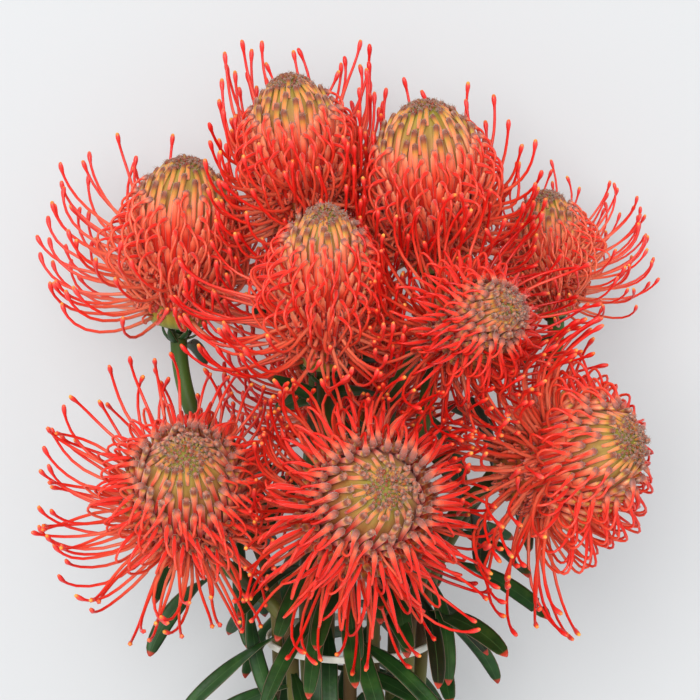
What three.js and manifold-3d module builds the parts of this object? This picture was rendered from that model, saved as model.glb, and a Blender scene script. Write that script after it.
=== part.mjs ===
// A bunch of ten pincushion protea stems, held by one rubber band and laid on a table.
// Millimetres. +Z is up, +Y runs from the cut stem ends to the blooms, and the table is at z = 0.
// Each stem has two pieces of its own colour: a green leafy stem and a red bloom seated on its top.
// A bloom is a firm core of packed florets. Its styles stand out of it: loops that still hold their
// tips near the apex, and below them a skirt of free styles with swollen heads.

import * as THREE from "three";
import { mergeVertices } from "three/addons/utils/BufferGeometryUtils.js";
import Module from "manifold-3d";

const wasm = await Module();
wasm.setup();

const GOLDEN_TURN = Math.PI * (3 - Math.sqrt(5));
const DEGREE = Math.PI / 180;
const CLEARANCE = 0.35;

// One flower head, from its seat on the stem to its apex.
const head = { length: 72, radius: 23, neck: 0.38, widest: 0.42, sides: 11, rings: 5 };
head.ringCrowding = 0.85;
head.keptFree = { low: 0.24, high: 0.8 };

// Florets are counted down from the apex along one spiral: buds, then loops, then free styles.
// One in so many of the loops and of the free styles is built, among them those that reach furthest.
const florets = {
  loopShift: 0.6, loopScatter: 24, firstLoop: 16, firstFree: 160, highest: 120, end: 246,
};
const built = { loopStep: 20, firstLoop: 0, freeStep: 4, firstFree: 2 };
const loops = {
  clawLow: 0.48, crowding: 0.85, run: [0.2, 0.33], lowestRoot: 0.08, radius: 0.75, bulge: [5, 13],
  rise: [0, 5], sway: 0.34, lean: 1.2, fullness: [0.55, 0.8], rootDepth: 2.2, clawDepth: 1.2,
  stations: [0, 0.25, 0.56, 0.85, 1],
};
const frees = {
  length: 53, top: 0.5, bottom: 0.06, rootDepth: 3, startTilt: [50, -15], endTilt: [90, 72], bend: 2.5,
  rootRadius: 1.1, radius: 0.75, tipRadius: 1.15, stations: [0, 0.5, 0.8, 1], fineSteps: 40,
};

// The ten heads: the seat, the direction from seat to apex and the size; the girth and the bluntness
// of the core; the numbers of the first loop and the first free style; how far the loops bow out;
// how much steeper the free styles rise and how far they reach; the side that is least open, as long
// as the florets it is behind by; the stem's place in the band as [across, towards the front], and
// among the cut ends as [across, up].
const blooms = [
  {
    seat: [-18, 48, 74], axis: [-0.12, 0.94, 0.31], size: 1.02, girth: 0.84, blunt: 2.9,
    young: 36, free: 128, bow: 1.1, rise: -6, reach: 0.98, shut: [4, -15, 28],
    band: [-0.62, -0.79], cut: [-1, 0],
  },
  {
    seat: [37, 36, 78], axis: [-0.07, 0.95, 0.31], size: 1.02, girth: 1, blunt: 2.9, young: 40,
    free: 160, bow: 1, rise: -8, reach: 0.96, shut: [-15, -15, 30], band: [0.62, -0.79],
    cut: [1, 0],
  },
  {
    seat: [-76, 11, 56], axis: [0.06, 0.97, 0.24], size: 1.04, girth: 0.92, blunt: 2.9,
    young: 40, free: 152, bow: 1, rise: 0, reach: 0.92, shut: [10, -15, 30],
    band: [-0.99, -0.14], cut: [-1.5, 1],
  },
  {
    seat: [-10.5, -6.5, 112], axis: [0, 0.905, 0.43], size: 1, girth: 0.75, blunt: 2.7,
    young: 26, free: 160, bow: 1.1, rise: -28, reach: 1.08, shut: [0, -12, 8],
    band: [-0.3, 0.22], cut: [-0.5, 1],
  },
  {
    seat: [91.5, 16, 52], axis: [-0.1, 0.95, 0.3], size: 0.78, girth: 0.8, blunt: 2.7,
    young: 32, free: 150, bow: 1.1, rise: 0, reach: 0.94, shut: [-15, -15, 30],
    band: [0.99, -0.14], cut: [1.5, 1],
  },
  {
    seat: [35, 4, 110], axis: [0.45, 0.2, 0.87], size: 0.95, girth: 0.64, blunt: 2.1,
    young: 26, free: 165, bow: 1.3, rise: -5, reach: 1.05, shut: [0, 0, 10],
    band: [0.32, 0.22], cut: [0.5, 1],
  },
  {
    seat: [69, -54, 100], axis: [0.66, 0.24, 0.71], size: 1, girth: 0.95, blunt: 2.5,
    young: 26, free: 165, bow: 1.6, rise: -25, reach: 1.2, shut: [85, -25, -40],
    band: [0.79, 0.62], cut: [1, 2],
  },
  {
    seat: [-69, -77, 99], axis: [0.03, 0.49, 0.87], size: 1, girth: 1, blunt: 2.1, young: 34,
    free: 150, bow: 1.3, rise: -8, reach: 0.95, shut: [0, 0, 10], band: [-0.79, 0.62],
    cut: [-1, 2],
  },
  {
    seat: [-2, -69, 121], axis: [0.24, 0.2, 0.95], size: 1, girth: 1.02, blunt: 2, young: 34,
    free: 162, bow: 1.85, rise: -10, reach: 1.06, shut: [0, -32, 10], band: [0, 1],
    cut: [0, 2],
  },
  {
    seat: [0, -44, 24], axis: [0.04, 0.998, -0.02], size: 0.97, girth: 1, blunt: 2.9,
    young: 40, free: 160, bow: 1, rise: 0, reach: 1, shut: [0, 0, 0], band: [0, -1],
    cut: [0, 0],
  },
];

// The stems lie level at their cut ends and rise along the lean to the band.
const stem = {
  radius: 2.9, topRadius: 3.8, sides: 6, steps: [3, 5], seatGap: 0.3,
  levelPull: 70, leanPull: 60, topPull: 0.4,
};
const cutEnds = { y: -345, stagger: 2.5, spacing: 6.4, rowHeight: 5.55, levelRun: 25 };
const band = {
  y: -126, z: 75, halfWidth: 36.8, halfDepth: 27.4, wall: 1.3, height: 3.2, slack: 0.8, segments: 24,
};
const bandTilt = 15 * DEGREE;
const lean = new THREE.Vector3(0, Math.cos(bandTilt), Math.sin(bandTilt));
const front = new THREE.Vector3(0, -Math.sin(bandTilt), Math.cos(bandTilt));
const level = new THREE.Vector3(0, 1, 0);
const across = new THREE.Vector3(1, 0, 0);

// Leaves stand closer together lower down the stem, where they also open wider.
const leaf = {
  perStem: 15, length: 58, width: 7.8, thickness: 0.8, belowBand: 56, start: 9, crowding: 0.68, droop: 40,
  segments: 3, widths: [0.4, 0.95, 1, 0.42],
};
const leafRoom = {
  leaf: 3.6, stem: 4.6, head: 27, band: 4, bandRoots: 9, table: 1.6, spread: 94,
  attempts: 36, turn: 0.7, opening: 15, stations: 17, root: 3,
};

// A repeatable draw from 0 to 1 for a bloom, one of its parts and one of that part's traits.
function draw(bloom, part, trait) {
  const wave = Math.sin(bloom * 37.719 + part * 12.9898 + trait * 78.233) * 43758.5453;
  return wave - Math.floor(wave);
}

const mix = (a, b, share) => a + (b - a) * share;
const vector = (list) => new THREE.Vector3(...list);

// three.js geometry to a solid, and back.
function solidOf(geometry) {
  const plain = geometry.clone();
  plain.deleteAttribute("normal");
  plain.deleteAttribute("uv");
  const merged = mergeVertices(plain, 1e-4);
  const index = merged.index.array;
  const kept = [];
  for (let i = 0; i < index.length; i += 3) {
    const [a, b, c] = [index[i], index[i + 1], index[i + 2]];
    if (a !== b && b !== c && a !== c) kept.push(a, b, c);
  }
  return new wasm.Manifold(
    new wasm.Mesh({
      numProp: 3,
      vertProperties: new Float32Array(merged.attributes.position.array),
      triVerts: new Uint32Array(kept),
    }),
  );
}

function geometryOf(solid) {
  const mesh = solid.getMesh();
  const positions = new Float32Array(mesh.numVert * 3);
  for (let i = 0; i < mesh.numVert; i++) {
    positions.set(mesh.vertProperties.subarray(i * mesh.numProp, i * mesh.numProp + 3), i * 3);
  }
  const geometry = new THREE.BufferGeometry();
  geometry.setAttribute("position", new THREE.BufferAttribute(positions, 3));
  geometry.setIndex(new THREE.BufferAttribute(new Uint32Array(mesh.triVerts), 1));
  return geometry;
}

function largestPiece(solid) {
  return solid.decompose().sort((a, b) => b.volume() - a.volume())[0];
}

// Moves a straight geometry, whose y counts stations, onto a path: station j goes to points[j].
// The geometry's x follows the side direction and its z the direction square to side and path.
function bentAlong(geometry, points, side) {
  const frames = points.map((point, j) => {
    const before = points[Math.max(j - 1, 0)];
    const after = points[Math.min(j + 1, points.length - 1)];
    const along = after.clone().sub(before).normalize();
    const sideways = side.clone().addScaledVector(along, -side.dot(along)).normalize();
    return { point, sideways, normal: sideways.clone().cross(along) };
  });
  const position = geometry.attributes.position;
  for (let i = 0; i < position.count; i++) {
    const frame = frames[Math.round(position.getY(i))];
    const moved = frame.point
      .clone()
      .addScaledVector(frame.sideways, position.getX(i))
      .addScaledVector(frame.normal, position.getZ(i));
    position.setXYZ(i, moved.x, moved.y, moved.z);
  }
  return geometry;
}

// A bar along a path, with one radius for each station, flat ends and a flat side downwards.
function barAlong(points, radii, sides, side) {
  const last = radii.length - 1;
  const outline = radii.map((radius, j) => new THREE.Vector2(radius, j));
  const profile = [new THREE.Vector2(0, 0), ...outline, new THREE.Vector2(0, last)];
  return solidOf(bentAlong(new THREE.LatheGeometry(profile, sides, Math.PI / sides), points, side));
}

// A needle along a path: a bar whose last station is a point.
function needleAlong(points, radii, side) {
  const outline = radii.map((radius, j) => new THREE.Vector2(radius, j));
  const profile = [new THREE.Vector2(0, 0), ...outline, new THREE.Vector2(0, radii.length)];
  return solidOf(bentAlong(new THREE.LatheGeometry(profile, 3), points, side));
}

// The core's radius at a share of the head's length above its seat, as a share of its widest radius.
function corePlump(share, blunt) {
  if (share < head.widest) {
    const down = (head.widest - share) / head.widest;
    return head.neck + (1 - head.neck) * Math.sqrt(1 - down * down);
  }
  const up = (share - head.widest) / (1 - head.widest);
  return Math.sqrt(Math.max(1 - Math.pow(up, blunt), 0));
}

function coreSolid({ girth, blunt }) {
  const profile = [new THREE.Vector2(0, 0)];
  for (let j = 0; j < head.rings; j++) {
    const share = Math.pow(j / head.rings, head.ringCrowding);
    profile.push(new THREE.Vector2(head.radius * girth * corePlump(share, blunt), head.length * share));
  }
  profile.push(new THREE.Vector2(0, head.length));
  const lathe = new THREE.LatheGeometry(profile, head.sides);
  return solidOf(lathe.rotateX(Math.PI / 2));
}

// A point of the head given by its turn about the axis, its distance from it and its height.
function headPoint(turn, radius, height) {
  return new THREE.Vector3(radius * Math.cos(turn), radius * Math.sin(turn), height);
}

// How far round towards the shut side of its head a floret stands, counted in florets.
function shutness(bloom, floret) {
  const back = heads[bloom].turned.clone().invert();
  return headPoint(floret * GOLDEN_TURN, 1, 0).dot(vector(heads[bloom].shut).applyQuaternion(back));
}

function isFree(bloom, floret) {
  return floret > blooms[bloom].free + shutness(bloom, floret);
}

function isLoop(bloom, floret) {
  const shut = Math.min(Math.max(shutness(bloom, floret), -36), 10);
  const scatter = (draw(bloom, floret, 29) - 0.5) * florets.loopScatter;
  const first = Math.max(blooms[bloom].young + florets.loopShift * shut + scatter, florets.firstLoop);
  return floret > first && !isFree(bloom, floret);
}

// A trapped style arches out of the flank and returns to its claw higher up the core.
function loopPath(bloom, floret) {
  const { girth, blunt, young, bow: opened } = blooms[bloom];
  const depth = Math.pow((floret + 0.5) / florets.firstFree, loops.crowding);
  const rank = Math.min(Math.max((floret - young) / (florets.firstFree - young), 0), 1);
  const clawShare = 1 - (1 - loops.clawLow) * depth;
  const run = mix(...loops.run, rank) * mix(0.85, 1.1, draw(bloom, floret, 3));
  const rootShare = Math.max(clawShare - run, loops.lowestRoot);
  const turn = floret * GOLDEN_TURN;
  const sway = (draw(bloom, floret, 1) - 0.5) * loops.sway;
  const bulge = mix(...loops.bulge, rank) * mix(0.7, 1.3, draw(bloom, floret, 2));
  return loops.stations.map((s) => {
    const far = 2 * Math.pow(s, loops.lean) - 1;
    const bow = Math.pow(Math.max(1 - far * far, 0), mix(...loops.fullness, s));
    const share = mix(rootShare, clawShare, s);
    const depthIn = mix(loops.rootDepth, loops.clawDepth, s);
    const radius = head.radius * girth * corePlump(share, blunt) - depthIn + opened * bulge * bow;
    const height = head.length * share + mix(...loops.rise, rank) * bow;
    return headPoint(turn + sway * bow, radius, height);
  });
}

// A free style leaves the flank between level and half upright, and curves up towards its tip.
function freePath(bloom, floret) {
  const { girth, blunt, rise, reach } = blooms[bloom];
  const rank = Math.max((floret - florets.highest) / (florets.end - florets.highest), 0);
  const share = mix(frees.top, frees.bottom, Math.pow(rank, 1.3));
  const turn = floret * GOLDEN_TURN;
  const length = frees.length * reach * mix(0.92, 1.08, draw(bloom, floret, 1));
  const [startHigh, startLow] = frees.startTilt;
  const [endHigh, endLow] = frees.endTilt;
  const startLean = (draw(bloom, floret, 2) - 0.5) * 12;
  const endLean = (draw(bloom, floret, 3) - 0.5) * 30;
  const tiltStart = mix(startHigh + rise, startLow, Math.pow(rank, 0.6)) + startLean;
  const tiltEnd = mix(endHigh + rise, endLow, rank) + endLean;
  const sway = (draw(bloom, floret, 4) - 0.5) * 0.5;
  const fine = frees.fineSteps;
  let radius = head.radius * girth * corePlump(share, blunt) - frees.rootDepth;
  let height = head.length * share;
  const all = [headPoint(turn, radius, height)];
  for (let j = 0; j < fine; j++) {
    const tilt = mix(tiltStart, tiltEnd, Math.pow((j + 0.5) / fine, frees.bend)) * DEGREE;
    radius += (length / fine) * Math.cos(tilt);
    height += (length / fine) * Math.sin(tilt);
    all.push(headPoint(turn + sway * ((j + 1) / fine) ** 2, radius, height));
  }
  return frees.stations.map((s) => all[Math.round(s * fine)]);
}

// Where a head stands, and the line inside its core that its neighbours keep away from.
const heads = blooms.map((bloom) => {
  const axis = vector(bloom.axis).normalize();
  const seat = vector(bloom.seat);
  const length = head.length * bloom.size;
  return {
    ...bloom,
    axis,
    seat,
    length,
    low: seat.clone().addScaledVector(axis, head.keptFree.low * length),
    high: seat.clone().addScaledVector(axis, head.keptFree.high * length),
    turned: new THREE.Quaternion().setFromUnitVectors(new THREE.Vector3(0, 0, 1), axis),
  };
});

function nearestOnLine(point, low, high) {
  const span = high.clone().sub(low);
  const share = point.clone().sub(low).dot(span) / span.lengthSq();
  return low.clone().addScaledVector(span, Math.min(Math.max(share, 0), 1));
}

// The nearest points of two short lines, found by going from one to the other and back.
function nearestPair(a, b) {
  let onA = a.low.clone().add(a.high).multiplyScalar(0.5);
  let onB = onA;
  for (let i = 0; i < 30; i++) {
    onB = nearestOnLine(onA, b.low, b.high);
    onA = nearestOnLine(onB, a.low, a.high);
  }
  return [onA, onB];
}

// Each head keeps to its own side of a plane halfway to every other head, and above the table.
function wallsOf(bloom) {
  const walls = [{ point: new THREE.Vector3(), out: new THREE.Vector3(0, 0, -1), margin: 0 }];
  heads.forEach((other, i) => {
    if (i === bloom) return;
    const [here, there] = nearestPair(heads[bloom], other);
    const out = there.clone().sub(here).normalize();
    walls.push({ point: here.add(there).multiplyScalar(0.5), out, margin: CLEARANCE });
  });
  return walls;
}

// Bends a path back inside the walls, given in world space, for a bar of this radius.
function bendClear(points, radius, walls) {
  return points.map((start) => {
    const point = start.clone();
    for (let pass = 0; pass < 12; pass++) {
      walls.forEach((wall) => {
        const past = point.clone().sub(wall.point).dot(wall.out) + radius + wall.margin;
        if (past > 0) point.addScaledVector(wall.out, -past);
      });
    }
    return point;
  });
}

// The stems' centre lines: from the cut end to the band, and on to the seat of the head.
function stemLine(bloom) {
  const { seat, axis, band: place, cut } = heads[bloom];
  const reach = stem.radius + band.wall + band.slack;
  const start = new THREE.Vector3(
    cut[0] * cutEnds.spacing,
    cutEnds.y + cutEnds.stagger * draw(bloom, 0, 9),
    stem.radius * Math.cos(Math.PI / stem.sides) + cut[1] * cutEnds.rowHeight,
  );
  const foot = start.clone().addScaledVector(level, cutEnds.levelRun);
  const held = new THREE.Vector3(0, band.y, band.z)
    .addScaledVector(across, place[0] * (band.halfWidth - reach))
    .addScaledVector(front, place[1] * (band.halfDepth - reach));
  const top = seat.clone().addScaledVector(axis, -stem.seatGap);
  const bend = stem.topPull * held.distanceTo(top);
  return {
    start,
    below: new THREE.CubicBezierCurve3(
      foot,
      foot.clone().addScaledVector(level, stem.levelPull),
      held.clone().addScaledVector(lean, -stem.leanPull),
      held,
    ),
    above: new THREE.CubicBezierCurve3(
      held,
      held.clone().addScaledVector(lean, bend),
      top.clone().addScaledVector(axis, -bend),
      top,
    ),
  };
}

const lines = heads.map((_, bloom) => stemLine(bloom));

function stemPoints(line, stepsBelow, stepsAbove) {
  const below = line.below.getPoints(stepsBelow);
  return [line.start, ...below, ...line.above.getPoints(stepsAbove).slice(1)];
}

// The point and direction of a stem at a distance below its head, by steps of half a millimetre.
function walkDown(line) {
  const fine = stemPoints(line, 400, 300).reverse();
  return (distance) => {
    let gone = 0;
    for (let i = 1; i < fine.length; i++) {
      const step = fine[i].distanceTo(fine[i - 1]);
      if (gone + step >= distance) {
        const up = fine[i - 1].clone().sub(fine[i]).normalize();
        return { point: fine[i].clone().addScaledVector(up, gone + step - distance), up };
      }
      gone += step;
    }
    return null;
  };
}

// A leaf's midrib is an arc in the plane of the stem and the side it grows on.
function midrib(root, up, turn, opening, length, stations) {
  const right = across.clone().addScaledVector(up, -up.x).normalize();
  const away = right.clone().multiplyScalar(Math.cos(turn));
  away.addScaledVector(up.clone().cross(right), Math.sin(turn));
  const [open, wide] = opening;
  const points = [];
  for (let j = 0; j < stations; j++) {
    const angle = mix(open, wide, j / (stations - 1));
    const climb = (Math.sin(angle) - Math.sin(open)) / (wide - open);
    const reach = (Math.cos(open) - Math.cos(angle)) / (wide - open);
    points.push(root.clone().addScaledVector(up, climb * length).addScaledVector(away, reach * length));
  }
  return { points, side: up.clone().cross(away) };
}

// Points of a leaf where its room is tested: the midrib and both edges.
function leafPoints(rib, width) {
  return rib.points.flatMap((point) => [
    point,
    point.clone().addScaledVector(rib.side, width / 2),
    point.clone().addScaledVector(rib.side, -width / 2),
  ]);
}

function clearOf(points, others, room) {
  return points.every((point) => others.every((other) => point.distanceToSquared(other) > room * room));
}

const bandPoints = Array.from({ length: 72 }, (_, i) => {
  const turn = (i / 72) * 2 * Math.PI;
  return new THREE.Vector3(0, band.y, band.z)
    .addScaledVector(across, band.halfWidth * Math.cos(turn))
    .addScaledVector(front, band.halfDepth * Math.sin(turn));
});

// Leaves stand round each stem by the golden angle. One that has no room turns on round the stem,
// opens less or more, and is left out if nothing fits.
function placeLeaves() {
  const placed = [];
  const stemTests = lines.map((line) => stemPoints(line, 70, 50));
  heads.forEach((_, bloom) => {
    const at = walkDown(lines[bloom]);
    const reach = lines[bloom].above.getLength() + leaf.belowBand - leaf.start;
    for (let n = 0; n < leaf.perStem; n++) {
      const evenly = leaf.start + reach * Math.pow(n / (leaf.perStem - 1), leaf.crowding);
      const held = lines[bloom].above.getLength();
      const distance = Math.abs(evenly - held) < leafRoom.bandRoots ? held - leafRoom.bandRoots : evenly;
      const { point, up } = at(distance);
      const young = Math.min(distance / 30, 1);
      const length = leaf.length * mix(0.62, 1, young) * mix(0.85, 1.1, draw(bloom, n, 5));
      const width = leaf.width * mix(0.8, 1, young) * mix(0.9, 1.1, draw(bloom, n, 6));
      for (let attempt = 0; attempt < leafRoom.attempts; attempt++) {
        const turn = n * GOLDEN_TURN + bloom + attempt * leafRoom.turn;
        const droop = leaf.droop * Math.min(distance / held, 1);
        const wider = (attempt % 3) * leafRoom.opening;
        const open = (mix(38, 95, draw(bloom, n, 7)) + droop + wider) * DEGREE;
        const wide = open + mix(20, 55, draw(bloom, n, 8)) * DEGREE;
        const rib = midrib(point, up, turn, [open, wide], length, leafRoom.stations);
        const points = leafPoints(rib, width).slice(3 * leafRoom.root);
        const fits =
          points.every((p) => p.z > leafRoom.table && Math.abs(p.x) < leafRoom.spread) &&
          clearOf(points, bandPoints, leafRoom.band) &&
          heads.every((h) => clearOfHead(points, h)) &&
          stemTests.every((s, i) => i === bloom || clearOf(points, s, leafRoom.stem)) &&
          placed.every((l) => clearOf(points, l.points, leafRoom.leaf));
        if (fits) {
          placed.push({ bloom, point, up, turn, opening: [open, wide], length, width, points });
          break;
        }
      }
    }
  });
  return placed;
}

function clearOfHead(points, { low, high, size }) {
  const room = leafRoom.head * size;
  return points.every((p) => p.distanceTo(nearestOnLine(p, low, high)) > room);
}

// A flat blade with a narrow foot and a blunt tip, bent along its midrib.
function leafSolid({ point, up, turn, opening, length, width }, extra) {
  const rib = midrib(point, up, turn, opening, length + extra, leaf.segments + 1);
  const box = new THREE.BoxGeometry(1, leaf.segments, leaf.thickness + 2 * extra, 1, leaf.segments, 1);
  const position = box.attributes.position;
  for (let i = 0; i < position.count; i++) {
    const station = Math.round(position.getY(i) + leaf.segments / 2);
    position.setXYZ(
      i,
      position.getX(i) * (width * leaf.widths[station] + 2 * extra),
      station,
      position.getZ(i),
    );
  }
  return solidOf(bentAlong(box, rib.points, rib.side));
}

const leaves = placeLeaves();

// A stem with its leaves as one solid, larger all round by the extra where it clears its neighbours.
function leafyStem(bloom, extra = 0) {
  const [below, above] = stem.steps;
  const points = stemPoints(lines[bloom], below, above);
  const radii = points.map((_, j) => {
    const share = Math.max(j - 1 - below, 0) / above;
    return mix(stem.radius, stem.topRadius, share) + extra;
  });
  const bar = barAlong(points, radii, stem.sides, across);
  const own = leaves.filter((l) => l.bloom === bloom).map((l) => leafSolid(l, extra));
  return wasm.Manifold.union([bar, ...own]);
}

const leafy = heads.map((_, bloom) => leafyStem(bloom));
const leafyRoom = heads.map((_, bloom) => leafyStem(bloom, CLEARANCE));

function bandSolid(extra = 0) {
  const inner = 1 - band.wall / band.halfWidth;
  const half = band.height / 2 + extra;
  const profile = [
    new THREE.Vector2(inner, -half),
    new THREE.Vector2(1, -half),
    new THREE.Vector2(1, half),
    new THREE.Vector2(inner, half),
    new THREE.Vector2(inner, -half),
  ];
  const ring = new THREE.LatheGeometry(profile, band.segments);
  ring.scale(band.halfWidth, 1, band.halfDepth);
  ring.rotateX(bandTilt);
  ring.translate(0, band.y, band.z);
  return solidOf(ring);
}

// A bloom in its own frame: the seat at the origin and the axis along +Z.
function bloomGeometry(bloom) {
  const place = heads[bloom];
  const toWorld = new THREE.Matrix4().compose(
    place.seat,
    place.turned,
    new THREE.Vector3(1, 1, 1).multiplyScalar(place.size),
  );
  const toLocal = toWorld.clone().invert();
  const walls = wallsOf(bloom);
  const settle = (points, radius) => {
    const world = points.map((p) => p.clone().applyMatrix4(toWorld));
    return bendClear(world, radius * place.size, walls).map((p) => p.applyMatrix4(toLocal));
  };
  const parts = [coreSolid(place)];
  for (let floret = florets.firstLoop; floret < florets.end; floret++) {
    const free = isFree(bloom, floret);
    if (!free && !isLoop(bloom, floret)) continue;
    const [step, first] = free ? [built.freeStep, built.firstFree] : [built.loopStep, built.firstLoop];
    if (floret % step !== first) continue;
    const side = new THREE.Vector3(-Math.sin(floret * GOLDEN_TURN), Math.cos(floret * GOLDEN_TURN), 0);
    if (free) {
      const points = settle(freePath(bloom, floret), frees.tipRadius);
      parts.push(needleAlong(points, [frees.rootRadius, frees.radius, frees.tipRadius], side));
    } else {
      const points = settle(loopPath(bloom, floret), loops.radius);
      parts.push(barAlong(points, points.map(() => loops.radius), 3, side));
    }
  }
  const world = solidOf(geometryOf(wasm.Manifold.union(parts)).applyMatrix4(toWorld));
  const box = world.boundingBox();
  const near = leafyRoom.filter((solid) => boxesMeet(box, solid.boundingBox()));
  const trimmed = world.subtract(wasm.Manifold.union(near)).subtract(tableSlab());
  return geometryOf(largestPiece(trimmed)).applyMatrix4(toLocal);
}

function boxesMeet(a, b) {
  return [0, 1, 2].every((i) => a.min[i] < b.max[i] && b.min[i] < a.max[i]);
}

// The table's top face flattens what presses on it.
function tableSlab() {
  return solidOf(new THREE.BoxGeometry(900, 900, 40).translate(0, 0, -20));
}

const petalRed = new THREE.MeshStandardMaterial({ color: 0xd8321f, roughness: 0.5, metalness: 0 });
const leafGreen = new THREE.MeshStandardMaterial({ color: 0x2e5424, roughness: 0.55, metalness: 0 });
const rubberWhite = new THREE.MeshStandardMaterial({ color: 0xe4e0d4, roughness: 0.6, metalness: 0 });

const bunch = new THREE.Group();

heads.forEach((place, bloom) => {
  const label = String(bloom + 1).padStart(2, "0");
  const flower = new THREE.Mesh(bloomGeometry(bloom), petalRed);
  flower.name = `bloom_${label}`;
  flower.position.copy(place.seat);
  flower.quaternion.copy(place.turned);
  flower.scale.setScalar(place.size);
  bunch.add(flower);
  const green = new THREE.Mesh(geometryOf(leafy[bloom].subtract(tableSlab())), leafGreen);
  green.name = `leafy_stem_${label}`;
  bunch.add(green);
});

const tie = new THREE.Mesh(geometryOf(bandSolid()), rubberWhite);
tie.name = "rubber_band";
bunch.add(tie);

// The part's origin is the middle of its footprint on the table.
bunch.updateMatrixWorld(true);
const footprint = new THREE.Box3().setFromObject(bunch, true);
const middle = footprint.getCenter(new THREE.Vector3());
bunch.position.set(-middle.x, -middle.y, -footprint.min.z);

const part = new THREE.Group();
part.add(bunch);

export default part;
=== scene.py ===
import math
import time

import bpy
import numpy as np
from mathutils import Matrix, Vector


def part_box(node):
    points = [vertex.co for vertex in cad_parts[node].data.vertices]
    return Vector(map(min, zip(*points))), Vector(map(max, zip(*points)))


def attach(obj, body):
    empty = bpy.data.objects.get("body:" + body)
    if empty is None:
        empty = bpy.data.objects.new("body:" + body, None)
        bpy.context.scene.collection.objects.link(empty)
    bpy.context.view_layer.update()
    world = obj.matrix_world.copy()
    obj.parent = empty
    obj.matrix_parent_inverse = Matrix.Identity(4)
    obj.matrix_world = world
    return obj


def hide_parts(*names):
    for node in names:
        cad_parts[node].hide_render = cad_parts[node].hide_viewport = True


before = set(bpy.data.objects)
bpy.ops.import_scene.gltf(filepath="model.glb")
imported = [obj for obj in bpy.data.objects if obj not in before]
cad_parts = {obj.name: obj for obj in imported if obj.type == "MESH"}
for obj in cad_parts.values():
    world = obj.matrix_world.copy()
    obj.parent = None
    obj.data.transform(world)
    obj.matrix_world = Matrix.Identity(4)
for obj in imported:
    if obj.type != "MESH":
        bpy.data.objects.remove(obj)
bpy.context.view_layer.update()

startTime = time.time()


def tell(*words):
    print(*words, "at", round(time.time() - startTime, 1), "s")


# A tied bunch of ten pincushion proteas, lying on a table and seen from straight above. Shapes are
# worked out in the bunch's own millimetres, where the photograph's centre is x = y = 0 and the table
# is z = 0. The band's place in the frame says how far that is moved.
goldenTurn = math.pi * (3 - math.sqrt(5))
degree = math.pi / 180
bandCentre = np.array([0.0, -126.0, 75.0])
shift = np.array(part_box("rubber_band")).mean(axis=0) * 1000 - bandCentre

# For each head: its seat, direction to the apex and size; the girth and the bluntness of the core; the
# numbers of its first loop and its first free style, counted down from the apex; how far the loops bow;
# how pale its styles are, partly their own colour and partly painted light (paler where light shines
# through them, deeper red where the bunch shades them); how ripe its florets are; how much steeper the
# free styles rise and how far they reach; the side that is least open (as long as the florets it is
# behind by); its place in the band and at the cut ends.
blooms = [
    dict(seat=(-18, 48, 74), axis=(-0.12, 0.94, 0.31), size=1.02, girth=0.84, blunt=2.9, young=36,
         free=128, bow=1.1, pale=0.3, ripe=0.1, rise=-6, reach=0.98, shut=(4, -15, 28),
         band=(-0.62, -0.79), cut=(-1, 0)),
    dict(seat=(37, 36, 78), axis=(-0.07, 0.95, 0.31), size=1.02, girth=1, blunt=2.9, young=40,
         free=160, bow=1, pale=0.3, ripe=0.1, rise=-8, reach=0.96, shut=(-15, -15, 30),
         band=(0.62, -0.79), cut=(1, 0)),
    dict(seat=(-76, 11, 56), axis=(0.06, 0.97, 0.24), size=1.04, girth=0.92, blunt=2.9, young=40,
         free=152, bow=1, pale=0.7, ripe=0, rise=0, reach=0.92, shut=(10, -15, 30),
         band=(-0.99, -0.14), cut=(-1.5, 1)),
    dict(seat=(-10.5, -6.5, 112), axis=(0, 0.905, 0.43), size=1, girth=0.75, blunt=2.7, young=26,
         free=160, bow=1.1, pale=0.15, ripe=0.3, rise=-28, reach=1.08, shut=(0, -12, 8),
         band=(-0.3, 0.22), cut=(-0.5, 1)),
    dict(seat=(91.5, 16, 52), axis=(-0.1, 0.95, 0.3), size=0.78, girth=0.8, blunt=2.7, young=32,
         free=150, bow=1.1, pale=0.95, ripe=0.3, rise=0, reach=0.94, shut=(-15, -15, 30),
         band=(0.99, -0.14), cut=(1.5, 1)),
    dict(seat=(35, 4, 110), axis=(0.45, 0.2, 0.87), size=0.95, girth=0.64, blunt=2.1, young=26,
         free=165, bow=1.3, pale=0, ripe=0.9, rise=-5, reach=1.05, shut=(0, 0, 10),
         band=(0.32, 0.22), cut=(0.5, 1)),
    dict(seat=(69, -54, 100), axis=(0.66, 0.24, 0.71), size=1, girth=0.95, blunt=2.5, young=26,
         free=165, bow=1.6, pale=0.3, ripe=0.5, rise=-25, reach=1.2, shut=(85, -25, -40),
         band=(0.79, 0.62), cut=(1, 2)),
    dict(seat=(-69, -77, 99), axis=(0.03, 0.49, 0.87), size=1, girth=1, blunt=2.1, young=34,
         free=150, bow=1.3, pale=0.4, ripe=0.8, rise=-8, reach=0.95, shut=(0, 0, 10),
         band=(-0.79, 0.62), cut=(-1, 2)),
    dict(seat=(-2, -69, 121), axis=(0.24, 0.2, 0.95), size=1, girth=1.02, blunt=2, young=34,
         free=162, bow=1.85, pale=0.1, ripe=0.9, rise=-10, reach=1.06, shut=(0, -32, 10),
         band=(0, 1), cut=(0, 2)),
    dict(seat=(0, -44, 24), axis=(0.04, 0.998, -0.02), size=0.97, girth=1, blunt=2.9, young=40,
         free=160, bow=1, pale=0, ripe=0, rise=0, reach=1, shut=(0, 0, 0), band=(0, -1),
         cut=(0, 0)),
]


def draw(bloom, part, trait):
    # a repeatable number from 0 to 1: the fraction of a large multiple of a sine
    wave = np.sin(bloom * 37.719 + part * 12.9898 + trait * 78.233) * 43758.5453
    return wave - np.floor(wave)


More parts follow.
